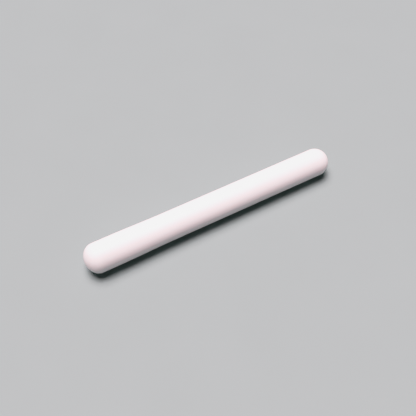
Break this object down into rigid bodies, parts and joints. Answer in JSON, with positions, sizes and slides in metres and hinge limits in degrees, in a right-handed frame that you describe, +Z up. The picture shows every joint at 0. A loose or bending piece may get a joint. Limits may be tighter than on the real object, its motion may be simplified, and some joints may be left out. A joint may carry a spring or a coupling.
{
  "type": "magnetic stir bar",
  "caption": "Slim white magnetic stir bar with rounded ends: a magnet rod sealed in a smooth PTFE jacket, one end slightly thicker than the other.",
  "frame": {"origin": "middle of the bar, on its centreline, halfway between the two tips", "axes": "+X along the centreline towards the slim end, +Z up with the bar lying on its side"},
  "size_m": [0.076, 0.0084, 0.0084],
  "materials": {
    "white_ptfe": "satin",
    "magnet_metal": "matte"
  },
  "bodies": {
    "root": {"ptfe_jacket": "white_ptfe", "magnet_rod": "magnet_metal"}
  },
  "joints": []
}
